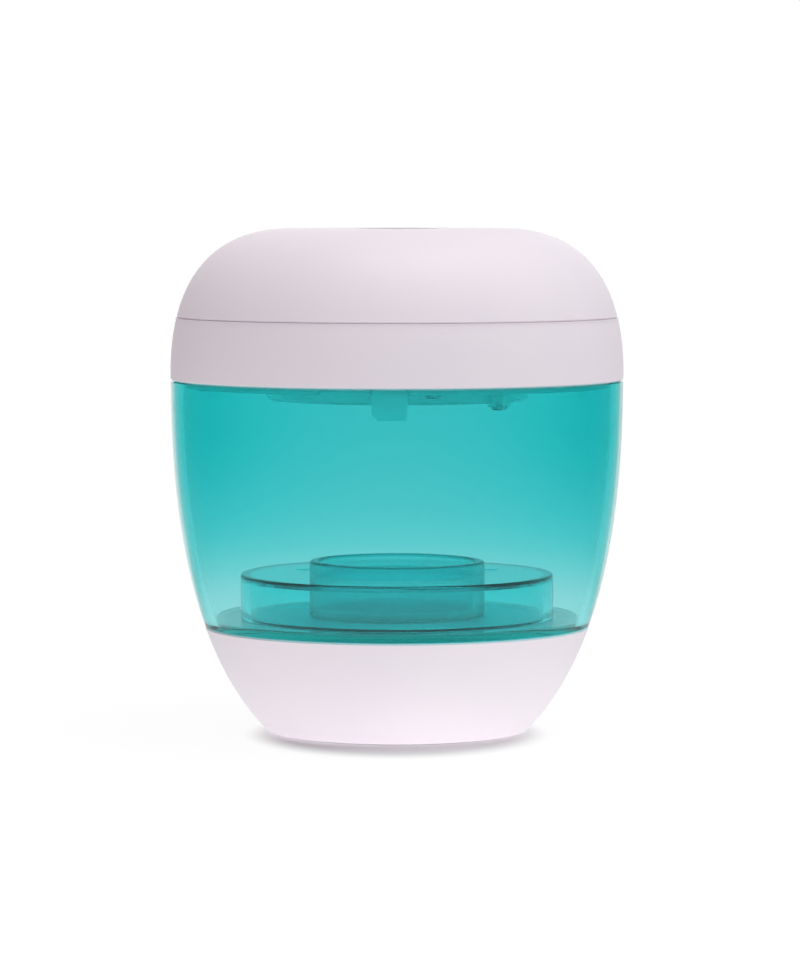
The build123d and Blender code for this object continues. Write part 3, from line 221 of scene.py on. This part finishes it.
class Nodes:
    """The node tree of a material or a world, built one node at a time."""

    def __init__(self, owner, output):
        owner.use_nodes = True
        self.tree = owner.node_tree
        self.tree.nodes.clear()
        self.out = self.node(output)

    def node(self, kind, **settings):
        made = self.tree.nodes.new("ShaderNode" + kind)
        for key, value in settings.items():
            setattr(made, key, value)
        return made

    def link(self, source, target):
        self.tree.links.new(source, target)

    def feed(self, target, value):
        """Give a socket another node's output or a fixed value."""
        if isinstance(value, bpy.types.NodeSocket):
            self.link(value, target)
        else:
            target.default_value = value

    def place(self):
        """Object coordinates."""
        return self.node("TexCoord").outputs["Object"]

    def part(self, vector, axis):
        parts = self.node("SeparateXYZ")
        self.link(vector, parts.inputs["Vector"])
        return parts.outputs[axis]

    def vector_math(self, operation, *values):
        made = self.node("VectorMath", operation=operation)
        for target, value in zip(made.inputs, values):
            self.feed(target, value)
        return made.outputs["Value" if operation == "LENGTH" else "Vector"]

    def math(self, operation, *values):
        made = self.node("Math", operation=operation)
        for target, value in zip(made.inputs, values):
            self.feed(target, value)
        return made.outputs["Value"]

    def span(self, value, source, target=(0.0, 1.0), smooth=False):
        """Map one range of values to another, clamped at both ends."""
        made = self.node("MapRange", interpolation_type="SMOOTHSTEP" if smooth else "LINEAR")
        for name, limit in zip(("From Min", "From Max", "To Min", "To Max"), (*source, *target)):
            made.inputs[name].default_value = limit
        self.link(value, made.inputs["Value"])
        return made.outputs["Result"]

    def mix(self, factor, first, second, **settings):
        made = self.node("Mix", **settings)
        self.feed(made.inputs["Factor"], factor)
        self.feed(made.inputs["A"], first)
        self.feed(made.inputs["B"], second)
        return made.outputs["Result"]

    def noise(self, scale, detail):
        texture = self.node("TexNoise")
        texture.inputs["Scale"].default_value = scale
        texture.inputs["Detail"].default_value = detail
        self.link(self.place(), texture.inputs["Vector"])
        return texture.outputs["Fac"]

    def ramp(self, level, stops):
        """Colour ramp through a list of levels and colours."""
        ramp = self.node("ValToRGB")
        points = ramp.color_ramp.elements
        while len(points) < len(stops):
            points.new(0.5)
        for point, (position, colour) in zip(points, stops):
            point.position = position
            point.color = colour
        self.link(level, ramp.inputs["Fac"])
        return ramp.outputs["Color"]

    def mottle(self, scale, detail, low, high):
        """Colour that wanders a little between two colours."""
        return self.ramp(self.noise(scale, detail), tuple(zip(MOTTLE_LEVELS, (low, high))))

    def uneven(self, scale, detail, span):
        """Value that wanders between two levels."""
        return self.span(self.noise(scale, detail), (0.0, 1.0), span)

    def bump(self, scale, detail, strength, depth):
        bump = self.node("Bump")
        bump.inputs["Strength"].default_value = strength
        bump.inputs["Distance"].default_value = depth
        self.link(self.noise(scale, detail), bump.inputs["Height"])
        return bump.outputs["Normal"]

    def seen_rays(self):
        """One for rays that show the background: straight, in gloss or through glass."""
        path = self.node("LightPath").outputs
        straight_or_gloss = self.math("MAXIMUM", path["Is Camera Ray"], path["Is Glossy Ray"])
        return self.math("MAXIMUM", straight_or_gloss, path["Is Transmission Ray"])

    def mix_shaders(self, factor, first, second):
        mix = self.node("MixShader")
        self.link(factor, mix.inputs["Fac"])
        self.link(first, mix.inputs[1])
        self.link(second, mix.inputs[2])
        return mix.outputs["Shader"]


class Shader(Nodes):
    """The nodes of a new material."""

    def __init__(self, name):
        self.material = bpy.data.materials.new(name)
        super().__init__(self.material, "OutputMaterial")

    def surface(self, shader):
        self.link(shader, self.out.inputs["Surface"])

    def principled(self, colour, rough, normal, **values):
        """Principled surface with a varied colour, roughness and relief."""
        body = self.node("BsdfPrincipled")
        for key, value in values.items():
            body.inputs[key.replace("_", " ")].default_value = value
        self.link(colour, body.inputs["Base Color"])
        self.link(rough, body.inputs["Roughness"])
        self.link(normal, body.inputs["Normal"])
        return body.outputs["BSDF"]


def moulded(name, low, high, rough, grain=MOULD_GRAIN, depth=MOULD_DEPTH, strength=MOULD_STRENGTH):
    """Opaque moulded plastic: faint mottling, uneven gloss and a fine grain."""
    shader = Shader(name)
    colour = shader.mottle(*MOULD_MOTTLE, low, high)
    uneven = shader.uneven(*MOULD_GLOSS, rough)
    relief = shader.bump(grain, MOULD_GRAIN_DETAIL, strength, depth)
    shader.surface(shader.principled(colour, uneven, relief, IOR=MOULD_IOR))
    return shader.material


def metal(name, low, high, rough, grain=METAL_GRAIN):
    """Bare metal with uneven polish."""
    shader = Shader(name)
    colour = shader.mottle(*METAL_MOTTLE, low, high)
    uneven = shader.uneven(grain, METAL_GRAIN_DETAIL, rough)
    relief = shader.bump(grain, METAL_GRAIN_DETAIL, METAL_STRENGTH, FINE_DEPTH)
    shader.surface(shader.principled(colour, uneven, relief, Metallic=1.0))
    return shader.material


def mottled(low, high):
    """Tint that wanders a little between two colours."""
    return lambda shader: shader.mottle(*CLEAR_MOTTLE, low, high)


def by_height(stops):
    """Tint that changes with height above the floor, from a list of heights and colours."""
    low, high = stops[0][0], stops[-1][0]
    levels = [((height - low) / (high - low), colour) for height, colour in stops]

    def tint(shader):
        height = shader.part(shader.place(), "Z")
        return shader.ramp(shader.span(height, (low, high)), levels)

    return tint


def deepened(shader, colour):
    """The window's tint, deeper toward its glancing edges, where more of it lies in the way."""
    facing = shader.node("LayerWeight")
    facing.inputs["Blend"].default_value = 0.5
    edge = shader.ramp(facing.outputs["Facing"], TEAL_EDGE)
    share = shader.span(shader.part(shader.place(), "Z"), EDGE_SPAN)
    return shader.mix(share, colour, edge, data_type="RGBA", blend_type="MULTIPLY")


def clear_plastic(
    name, tint, shadow, absorb=None, density=0.0, rough=(0.0, 0.03), ior=CLEAR_IOR, haze=0.0, window=False
):
    """See-through plastic, some of it with absorption in its thickness; lamps reach through it."""
    shader = Shader(name)
    path = shader.node("LightPath").outputs
    colour = tint(shader)
    if window:
        colour = shader.mix(path["Is Diffuse Ray"], deepened(shader, colour), shadow, data_type="RGBA")
    uneven = shader.uneven(*CLEAR_GLOSS, rough)
    relief = shader.bump(*CLEAR_WAVE, CLEAR_WAVE_STRENGTH, FINE_DEPTH)
    body = shader.principled(colour, uneven, relief, IOR=ior, Transmission_Weight=1.0 - haze)
    through = shader.node("BsdfTransparent")
    through.inputs["Color"].default_value = shadow
    shader.surface(shader.mix_shaders(path["Is Shadow Ray"], body, through.outputs["BSDF"]))
    if absorb:
        volume = shader.node("VolumeAbsorption")
        volume.inputs["Color"].default_value = absorb
        volume.inputs["Density"].default_value = density
        shader.link(volume.outputs["Volume"], shader.out.inputs["Volume"])
    return shader.material


def grey(level, warm=0.0):
    return (level + warm, level, level - warm, 1.0)


def make_materials():
    """One material for each slot of the record, and the finishes of single pieces."""
    return {
        "white_shell": moulded("white_satin", WHITE_PLASTIC, WHITE_PLASTIC_WARM, (0.50, 0.60)),
        "teal_window": clear_plastic(
            "teal_window", by_height(TEAL_TINT), TEAL_SHADOW, TEAL_ABSORB, TEAL_DENSITY, ior=1.38,
            window=True,
        ),
        "clear_rack": clear_plastic(
            "clear_rack", by_height(RACK_TINT), (0.8, 0.96, 0.96, 1.0), (0.04, 0.93, 0.935, 1.0), 150.0,
            ior=1.40,
        ),
        "tinted_collar": clear_plastic(
            "tinted_collar", mottled((0.38, 0.86, 0.87, 1.0), (0.42, 0.88, 0.89, 1.0)),
            (0.7, 0.9, 0.9, 1.0), (0.05, 0.94, 0.94, 1.0), 200.0, rough=(0.14, 0.22), ior=1.40,
        ),
        "clear_lens": clear_plastic(
            "clear_lens", mottled((0.96, 0.99, 0.99, 1.0), (0.98, 1.0, 1.0, 1.0)),
            (0.95, 0.98, 0.98, 1.0), (0.8, 1.0, 1.0, 1.0), 20.0, rough=(0.03, 0.08), haze=0.40,
        ),
        "light_guide": clear_plastic(
            "light_guide", mottled((0.93, 0.95, 0.93, 1.0), (0.95, 0.96, 0.95, 1.0)),
            (0.9, 0.92, 0.9, 1.0), rough=(0.3, 0.4),
        ),
        "inner_white": clear_plastic(
            "inner_white", mottled(grey(0.94), grey(0.97)), grey(0.4), rough=(0.55, 0.65), haze=0.85
        ),
        "foot_rubber": moulded("foot_rubber", grey(0.42), grey(0.50), (0.72, 0.85), 1800.0, 0.00003, 0.6),
        "ballast_iron": moulded("ballast_iron", grey(0.035), grey(0.07), (0.5, 0.7), 700.0, 0.00008, 0.8),
        "steel": metal("steel", grey(0.52), grey(0.62), (0.22, 0.34)),
        "bright_sheet": metal("bright_sheet", grey(0.82), grey(0.88), (0.34, 0.44)),
        "tinted_mirror": metal(
            "tinted_mirror", (0.05, 0.80, 0.83, 1.0), (0.08, 0.85, 0.88, 1.0), (0.40, 0.50)
        ),
        "lamp_glass": clear_plastic(
            "lamp_glass", mottled((0.96, 0.97, 1.0, 1.0), (0.98, 0.99, 1.0, 1.0)), (0.9, 0.93, 0.96, 1.0)
        ),
        "cap_plastic": moulded("cap_plastic", grey(0.60, 0.01), grey(0.66, 0.01), (0.5, 0.6)),
        "board_green": moulded(
            "board_green", (0.010, 0.075, 0.030, 1.0), (0.014, 0.095, 0.040, 1.0), (0.35, 0.5), 1200.0
        ),
        "black_plastic": moulded("black_plastic", grey(0.015), grey(0.022), (0.4, 0.55)),
        "plunger_plastic": moulded("plunger_plastic", grey(0.62), grey(0.68), (0.35, 0.45)),
        "copper": metal("copper", (0.50, 0.18, 0.07, 1.0), (0.62, 0.25, 0.10, 1.0), (0.25, 0.4), 2400.0),
        "cell_wrap": metal("cell_wrap", (0.05, 0.06, 0.08, 1.0), (0.07, 0.08, 0.10, 1.0), (0.3, 0.4)),
    }


def dress(materials):
    """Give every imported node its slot's material, or its own finish."""
    slots = {entry["node"]: entry["material_slot"] for entry in frame["record"]["subparts"]}
    for name, node in frame["nodes"].items():
        node.data.materials.clear()
        node.data.materials.append(materials[FINISHES.get(name, slots[name])])


def hang(piece, body, stands_for=()):
    """Put a piece in the scene, on its body, in place of the imported nodes it stands for."""
    bpy.context.scene.collection.objects.link(piece)
    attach(piece, body)
    if stands_for:
        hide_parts(*stands_for)


def solid(name, bm, material, body, stands_for=(), bore=()):
    """Finish a mesh piece: smooth its curved faces, give it its finish and hang it on its body."""
    bmesh.ops.recalc_face_normals(bm, faces=bm.faces)
    if bore:
        bmesh.ops.reverse_faces(bm, faces=bore)
    mesh = bpy.data.meshes.new(name)
    bm.to_mesh(mesh)
    bm.free()
    for polygon in mesh.polygons:
        polygon.use_smooth = True
    mesh.set_sharp_from_angle(angle=radians(SHARP_ANGLE))
    mesh.materials.append(material)
    hang(bpy.data.objects.new(name, mesh), body, stands_for)


def wire(name, lines, radius, material, body):
    """Round wire along lines of points, in millimetres."""
    data = bpy.data.curves.new(name, "CURVE")
    data.dimensions = "3D"
    data.bevel_depth = MM * radius
    data.bevel_resolution = WIRE_ROUNDNESS
    data.use_fill_caps = True
    for line in lines:
        spline = data.splines.new("POLY")
        spline.points.add(len(line) - 1)
        for point, spot in zip(spline.points, line):
            point.co = [MM * value for value in spot] + [1.0]
    data.materials.append(material)
    hang(bpy.data.objects.new(name, data), body)


def loft(bm, rings):
    """Skin a list of rings with quads; a ring of one point closes the end."""
    for low, high in zip(rings, rings[1:]):
        count = max(len(low), len(high))
        for k in range(count):
            after = (k + 1) % count
            corners = []
            for ring, pair in ((low, (k, after)), (high, (after, k))):
                corners += [ring[0]] if len(ring) == 1 else [ring[i] for i in pair]
            bm.faces.new(corners)


def lathe(bm, outline, sides, upright=True):
    """Turn an outline of radius and height, in millimetres, about Z, or about X when not upright."""
    rings = []
    for radius, height in outline:
        ring = []
        for k in range(sides if radius > 0 else 1):
            turn = 2 * pi * k / sides
            x, y = radius * cos(turn), radius * sin(turn)
            spot = (x, y, height) if upright else (height, x, y)
            ring.append(bm.verts.new([MM * value for value in spot]))
        rings.append(ring)
    loft(bm, rings)


def cross_reach(angle, arm, half_width):
    """Distance from the middle of a cross recess to its edge, in a direction."""
    turn = abs((angle + pi / 4) % (pi / 2) - pi / 4)
    if tan(turn) <= half_width / arm:
        return arm / cos(turn)
    return half_width / sin(turn)


def cross_angles(arm, half_width):
    """Directions that catch every corner of a cross recess."""
    corner = atan2(half_width, arm)
    steps = [0, corner / 2, corner, (2 * corner + pi / 4) / 3, (corner + pi / 2) / 3, pi / 4]
    steps += [pi / 2 - step for step in reversed(steps[1:-1])]
    return [quarter * pi / 2 + step for quarter in range(4) for step in steps]


def thread_radius(angle, run, shank_r, pitch):
    """Radius of the turned thread at a direction and a distance along the shank."""
    phase = (run / pitch - angle / (2 * pi)) % 1.0
    return shank_r * (THREAD_ROOT + THREAD_DEPTH * (1 - abs(2 * phase - 1)))


def screw(bm, spot, seat_z, way, length, head_r, head_h, shank_r, pitch):
    """Pan head screw with a cross recess and a turned thread; its shank runs up or down from the seat."""
    arm, half_width = CROSS_ARM * head_r, CROSS_HALF_WIDTH * head_r
    angles = cross_angles(arm, half_width)
    recess = [cross_reach(angle, arm, half_width) for angle in angles]

    def point(x, y, along):
        return bm.verts.new((MM * (spot[0] + x), MM * (spot[1] + y), MM * (seat_z + way * along)))

    def ring(radii, along):
        pairs = zip(radii, angles)
        return [point(radius * cos(angle), radius * sin(angle), along) for radius, angle in pairs]

    def round_ring(radius, along):
        return ring([radius] * len(angles), along)

    middle, rim = CROSS_FLOOR_HEIGHTS
    rings = [[point(0, 0, -middle * head_h)]]
    rings.append(ring([CROSS_FLOOR_REACH * reach for reach in recess], -rim * head_h))
    rings.append(ring(recess, -head_h))
    rings += [round_ring(radius * head_r, -height * head_h) for radius, height in HEAD_PROFILE]
    rings.append(round_ring(NECK_SHARE * shank_r, 0.0))
    run = THREAD_RUN_IN * pitch
    while run < length - pitch:
        rings.append(ring([thread_radius(angle, run, shank_r, pitch) for angle in angles], run))
        run += pitch / THREAD_STEPS
    rings.append(round_ring(TIP_SHARE * shank_r, length - THREAD_RUN_OUT * pitch))
    rings.append([point(0, 0, length)])
    loft(bm, rings)


def make_screws(steel):
    """Real screws in place of the plain ones of the frame."""
    for name, body, circle_r, angles, seat_z, way, length, size in SCREWS:
        bm = bmesh.new()
        for angle in angles:
            spot = (circle_r * cos(radians(angle)), circle_r * sin(radians(angle)))
            screw(bm, spot, seat_z, way, length, **size)
        solid(name + "_cross", bm, steel, body, (name,))


def make_reflector(material):
    """Mirror disc with a pressed step and a rolled rim, a hair above the chamber floor."""
    bm = bmesh.new()
    lathe(bm, DISC_OUTLINE, FINE_SIDES)
    solid("mirror_disc", bm, material, "base", ("floor_reflector",))


def make_foot(material):
    """Rubber pad with round grip grooves in its underside."""
    outline = list(FOOT_OUTLINE)
    wide, narrow = GROOVE_HALF_WIDTHS
    for radius in GROOVE_RADII:
        outline += [(radius + wide, 0.0), (radius + narrow, GROOVE_DEPTH)]
        outline += [(radius - narrow, GROOVE_DEPTH), (radius - wide, 0.0)]
    outline.append((0, 0.0))
    bm = bmesh.new()
    lathe(bm, outline, FINE_SIDES)
    solid("foot_pad_grooved", bm, material, "base", ("foot_pad",))


def both_ends(end):
    """Outline of a round bar with the same end twice, from radii and distances from the tip."""
    left = [(radius, inset - LAMP_HALF) for radius, inset in end]
    return left + [(radius, -height) for radius, height in reversed(left)]


def make_lamp(glass, steel):
    """Hollow lamp tube with drawn-in ends and a wire coil at each end."""
    bm = bmesh.new()
    lathe(bm, both_ends(LAMP_END), LAMP_SIDES, upright=False)
    wall = set(bm.faces)
    lathe(bm, both_ends(LAMP_BORE_END), LAMP_SIDES, upright=False)
    bore = [face for face in bm.faces if face not in wall]
    for vertex in bm.verts:
        vertex.co.z += MM * LAMP_Z
    solid("lamp_tube", bm, glass, "lid", ("uv_lamp",), bore)
    coils = []
    for side in (1, -1):
        line = [(side * (LAMP_HALF - COIL_LEAD), 0.0, LAMP_Z)]
        for k in range(COIL_TURNS * COIL_STEPS + 1):
            turn = 2 * pi * k / COIL_STEPS
            along = COIL_START - COIL_PITCH * k / COIL_STEPS
            line.append((side * along, COIL_R * cos(turn), LAMP_Z + COIL_R * sin(turn)))
        coils.append(line)
    wire("lamp_coils", coils, COIL_WIRE, steel, "lid")


def make_winding(copper):
    """Turns of wire round the step-up coil's core."""
    line = []
    count = WINDING_TURNS * WINDING_STEPS
    for k in range(count + 1):
        turn = 2 * pi * k / WINDING_STEPS
        along = -WINDING_HALF + 2 * WINDING_HALF * k / count
        line.append((WINDING_X + WINDING_R * cos(turn), along, WINDING_Z + WINDING_R * sin(turn)))
    wire("coil_winding", [line], WINDING_WIRE, copper, "lid")


def make_seat_ring(white):
    """Pale step that closes the seam under the dome."""
    bm = bmesh.new()
    low, high = SEAT_RING_Z
    inner, outer = SEAT_RING_R
    lathe(bm, [(inner, low), (outer, low), (outer, high), (inner, high), (inner, low)], 2 * FINE_SIDES)
    bmesh.ops.remove_doubles(bm, verts=bm.verts, dist=WELD_REACH)
    solid("dome_seat_ring", bm, white, "lid")


def make_camera():
    data = bpy.data.cameras.new("camera")
    data.lens = LENS_MM
    data.sensor_width = SENSOR_MM
    camera = bpy.data.objects.new("camera", data)
    camera.location = (CAMERA_X, -CAMERA_DISTANCE, CAMERA_HEIGHT)
    camera.rotation_euler = (radians(90.0 - CAMERA_PITCH), 0.0, 0.0)
    bpy.context.scene.collection.objects.link(camera)
    bpy.context.scene.camera = camera


def make_overhead():
    """Wide soft lamp from above."""
    data = bpy.data.lights.new("overhead", "SUN")
    data.energy = OVERHEAD_STRENGTH
    data.angle = radians(OVERHEAD_SPREAD)
    lamp = bpy.data.objects.new("overhead", data)
    lamp.rotation_euler = Vector(OVERHEAD_WAY).to_track_quat("-Z", "Y").to_euler()
    bpy.context.scene.collection.objects.link(lamp)


def make_world():
    """Soft studio surround: white where it is seen; as a light, dimmer and warmer on the left."""
    world = bpy.data.worlds.new("studio")
    nodes = Nodes(world, "OutputWorld")
    light = nodes.node("Background")
    side = nodes.span(nodes.part(nodes.node("TexCoord").outputs["Generated"], "X"), WORLD_TURN, smooth=True)
    nodes.link(nodes.mix(side, WORLD_LEFT, WORLD_RIGHT, data_type="RGBA"), light.inputs["Color"])
    seen = nodes.node("Background")
    seen.inputs["Color"].default_value = WHITE
    both = nodes.mix_shaders(nodes.seen_rays(), light.outputs["Background"], seen.outputs["Background"])
    nodes.link(both, nodes.out.inputs["Surface"])
    bpy.context.scene.world = world


def studio_piece(name, mesh, shader):
    """Put a mesh of the studio, which isn't part of the object, in the scene."""
    mesh.materials.append(shader.material)
    piece = bpy.data.objects.new(name, mesh)
    bpy.context.scene.collection.objects.link(piece)
    return piece


def make_floor():
    """White floor that keeps the object's shadow, with a painted contact shadow close round its foot."""
    half = FLOOR_HALF
    mesh = bpy.data.meshes.new("floor")
    corners = [(-half, -half, 0), (half, -half, 0), (half, half, 0), (-half, half, 0)]
    mesh.from_pydata(corners, [], [(0, 1, 2, 3)])
    shader = Shader("floor")
    reach = shader.vector_math("LENGTH", shader.place())
    bounce = shader.span(reach, FLOOR_GLOW_SPAN, FLOOR_GLOW, smooth=True)
    squeezed = shader.vector_math("MULTIPLY_ADD", shader.place(), PAINTED_SHADOW_SQUEEZE, PAINTED_SHADOW_SHIFT)
    painted_shadow_reach = shader.vector_math("LENGTH", squeezed)
    white_and_painted_shadow = shader.span(painted_shadow_reach, PAINTED_SHADOW_SPAN, FLOOR_WHITE_AND_PAINTED_SHADOW, smooth=True)
    # Painted contact shadow: the glow that the camera sees fades to nothing close round the foot
    seen = shader.span(painted_shadow_reach, PAINTED_SHADOW_SPAN, (0.0, 1.0 - FLOOR_LIT * FLOOR_WHITE_AND_PAINTED_SHADOW[1]), smooth=True)
    level = shader.math("MULTIPLY_ADD", white_and_painted_shadow, -FLOOR_SHADED_LIT, bounce)
    body = shader.node("BsdfDiffuse")
    shader.link(white_and_painted_shadow, body.inputs["Color"])
    glow = shader.node("Emission")
    glow.inputs["Color"].default_value = WHITE
    shader.link(shader.mix(shader.seen_rays(), level, seen), glow.inputs["Strength"])
    both = shader.node("AddShader")
    shader.link(body.outputs["BSDF"], both.inputs[0])
    shader.link(glow.outputs["Emission"], both.inputs[1])
    shader.surface(both.outputs["Shader"])
    floor = studio_piece("floor", mesh, shader)


def make_tent():
    """Cards round the object that only gloss sees: white behind it and above, darker elsewhere."""
    outline = ((TENT_NEAR, TENT_LIFT), (TENT_FAR, TENT_LIFT), (TENT_R, TENT_LIFT), (TENT_R, TENT_TOP))
    bm = bmesh.new()
    lathe(bm, [(radius / MM, height / MM) for radius, height in outline], FINE_SIDES)
    mesh = bpy.data.meshes.new("tent")
    bm.to_mesh(mesh)
    bm.free()
    shader = Shader("tent")
    flat = shader.vector_math("MULTIPLY", shader.place(), (1.0, 1.0, 0.0))
    behind = shader.part(shader.vector_math("NORMALIZE", flat), "Y")
    colour = shader.ramp(shader.span(behind, (-1.0, 1.0)), TENT_STOPS)
    above = shader.span(shader.part(shader.place(), "Z"), (TENT_PALE_FROM, TENT_TOP), smooth=True)
    colour = shader.mix(above, colour, WHITE, data_type="RGBA")
    near = shader.span(shader.vector_math("LENGTH", flat), (TENT_FAR, TENT_NEAR), smooth=True)
    colour = shader.mix(near, colour, TENT_UNDER, data_type="RGBA")
    glow = shader.node("Emission")
    shader.link(colour, glow.inputs["Color"])
    shader.surface(glow.outputs["Emission"])
    tent = studio_piece("tent", mesh, shader)
    for ray in ("camera", "diffuse", "transmission", "volume_scatter", "shadow"):
        setattr(tent, "visible_" + ray, False)


def set_view():
    scene = bpy.context.scene
    scene.view_settings.view_transform = "Standard"
    scene.cycles.max_bounces = LIGHT_BOUNCES
    scene.cycles.transmission_bounces = LIGHT_BOUNCES
    scene.cycles.transparent_max_bounces = LIGHT_BOUNCES


materials = make_materials()
dress(materials)
make_screws(materials["steel"])
make_reflector(materials["tinted_mirror"])
make_foot(materials["foot_rubber"])
make_lamp(materials["lamp_glass"], materials["steel"])
make_winding(materials["copper"])
make_seat_ring(materials["white_shell"])
make_camera()
make_world()
make_overhead()
make_floor()
make_tent()
set_view()
